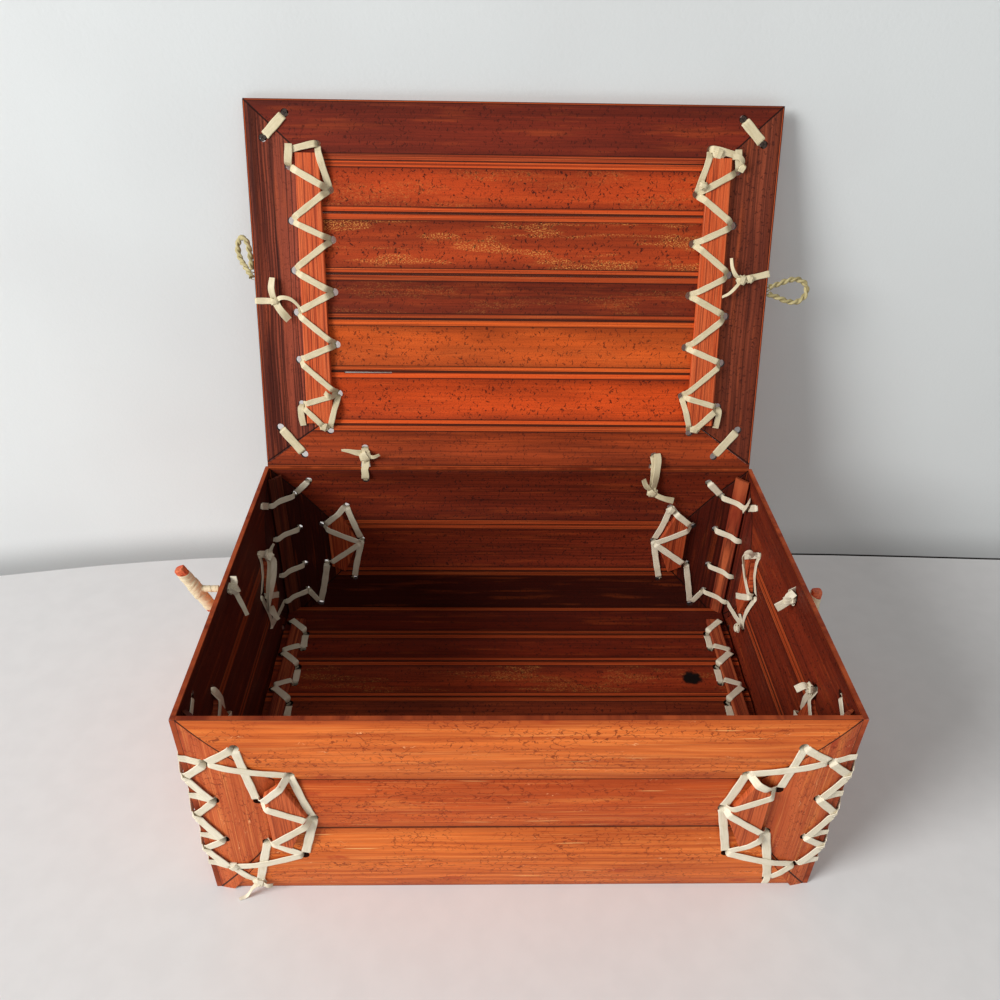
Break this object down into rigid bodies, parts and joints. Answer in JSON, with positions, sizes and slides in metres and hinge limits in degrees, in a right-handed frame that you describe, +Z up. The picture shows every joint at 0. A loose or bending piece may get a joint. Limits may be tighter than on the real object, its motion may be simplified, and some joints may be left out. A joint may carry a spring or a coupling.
{
  "type": "bamboo chest",
  "caption": "Hinged storage chest of split bamboo boards laced with flat cane, with a fold-back lid, corner posts, cord loops on the lid and toggle pegs that hold them",
  "frame": {"origin": "middle of the front wall's lower outer edge, where the chest stands on the table", "axes": "+X to the right along the front wall, +Y from the front wall to the back wall, +Z up"},
  "size_m": [0.3939, 0.3099, 0.3632],
  "materials": {
    "wall_bamboo": "smoked orange-brown bamboo, satin, fine grain along the board",
    "lid_bamboo": "reddish brown inner bamboo, satin, dark flecks",
    "bottom_bamboo": "dark reddish brown inner bamboo, satin",
    "batten_bamboo": "fresh orange bamboo strip, straight grain",
    "peg_bamboo": "orange-red bamboo stick",
    "cane": "pale cream cane, matte, fine fibres"
  },
  "bodies": {
    "base": {"front_bottom_rail": "wall_bamboo", "front_top_rail": "wall_bamboo", "front_left_stile": "wall_bamboo", "front_right_stile": "wall_bamboo", "front_slat": "wall_bamboo", "back_bottom_rail": "wall_bamboo", "back_top_rail": "wall_bamboo", "back_left_stile": "wall_bamboo", "back_right_stile": "wall_bamboo", "back_slat": "wall_bamboo", "left_bottom_rail": "wall_bamboo", "left_top_rail": "wall_bamboo", "left_front_stile": "wall_bamboo", "left_back_stile": "wall_bamboo", "left_slat": "wall_bamboo", "right_bottom_rail": "wall_bamboo", "right_top_rail": "wall_bamboo", "right_front_stile": "wall_bamboo", "right_back_stile": "wall_bamboo", "right_slat": "wall_bamboo", "corner_posts": "batten_bamboo", "front_battens": "batten_bamboo", "back_battens": "batten_bamboo", "left_battens": "batten_bamboo", "right_battens": "batten_bamboo", "bottom_board_1": "bottom_bamboo", "bottom_board_2": "bottom_bamboo", "bottom_board_3": "bottom_bamboo", "bottom_board_4": "bottom_bamboo", "bottom_board_5": "bottom_bamboo", "bottom_board_6": "bottom_bamboo", "bottom_battens": "batten_bamboo", "front_left_lace": "cane", "front_right_lace": "cane", "back_left_lace": "cane", "back_right_lace": "cane", "bottom_lace": "cane", "hinge_tie_knots": "cane", "peg_knots": "cane"},
    "lid": {"lid_back_rail": "lid_bamboo", "lid_front_rail": "lid_bamboo", "lid_left_stile": "lid_bamboo", "lid_right_stile": "lid_bamboo", "lid_slat_1": "lid_bamboo", "lid_slat_2": "lid_bamboo", "lid_slat_3": "lid_bamboo", "lid_slat_4": "lid_bamboo", "lid_slat_5": "lid_bamboo", "lid_battens": "batten_bamboo", "lid_lace": "cane", "hinge_tie_straps": "cane", "loop_knots": "cane"},
    "left_loop": {"left_loop": "cane"},
    "right_loop": {"right_loop": "cane"},
    "left_peg": {"left_peg": "peg_bamboo", "left_peg_winding": "cane", "left_peg_stalk": "cane"},
    "right_peg": {"right_peg": "peg_bamboo", "right_peg_winding": "cane", "right_peg_stalk": "cane"}
  },
  "joints": [
    {"name": "lid_hinge", "type": "hinge", "parent": "base", "child": "lid", "pos_m": [0, 0.2283, 0.1403], "axis": [1, 0, 0], "range_deg": [0, 107.5]},
    {"name": "left_loop_swing", "type": "hinge", "parent": "lid", "child": "left_loop", "pos_m": [-0.1709, 0.26924, 0.26265], "axis": [0, 0.3007, 0.9537], "range_deg": [-20, 90]},
    {"name": "right_loop_swing", "type": "hinge", "parent": "lid", "child": "right_loop", "pos_m": [0.1709, 0.26692, 0.25531], "axis": [0, -0.3007, -0.9537], "range_deg": [-40, 30]},
    {"name": "left_peg_turn", "type": "hinge", "parent": "base", "child": "left_peg", "pos_m": [-0.1731, 0.106, 0.132], "axis": [1, 0, 0], "range_deg": [0, 180]},
    {"name": "right_peg_swing", "type": "hinge", "parent": "base", "child": "right_peg", "pos_m": [0.1731, 0.107, 0.124], "axis": [1, 0, 0], "range_deg": [-60, 60]}
  ]
}
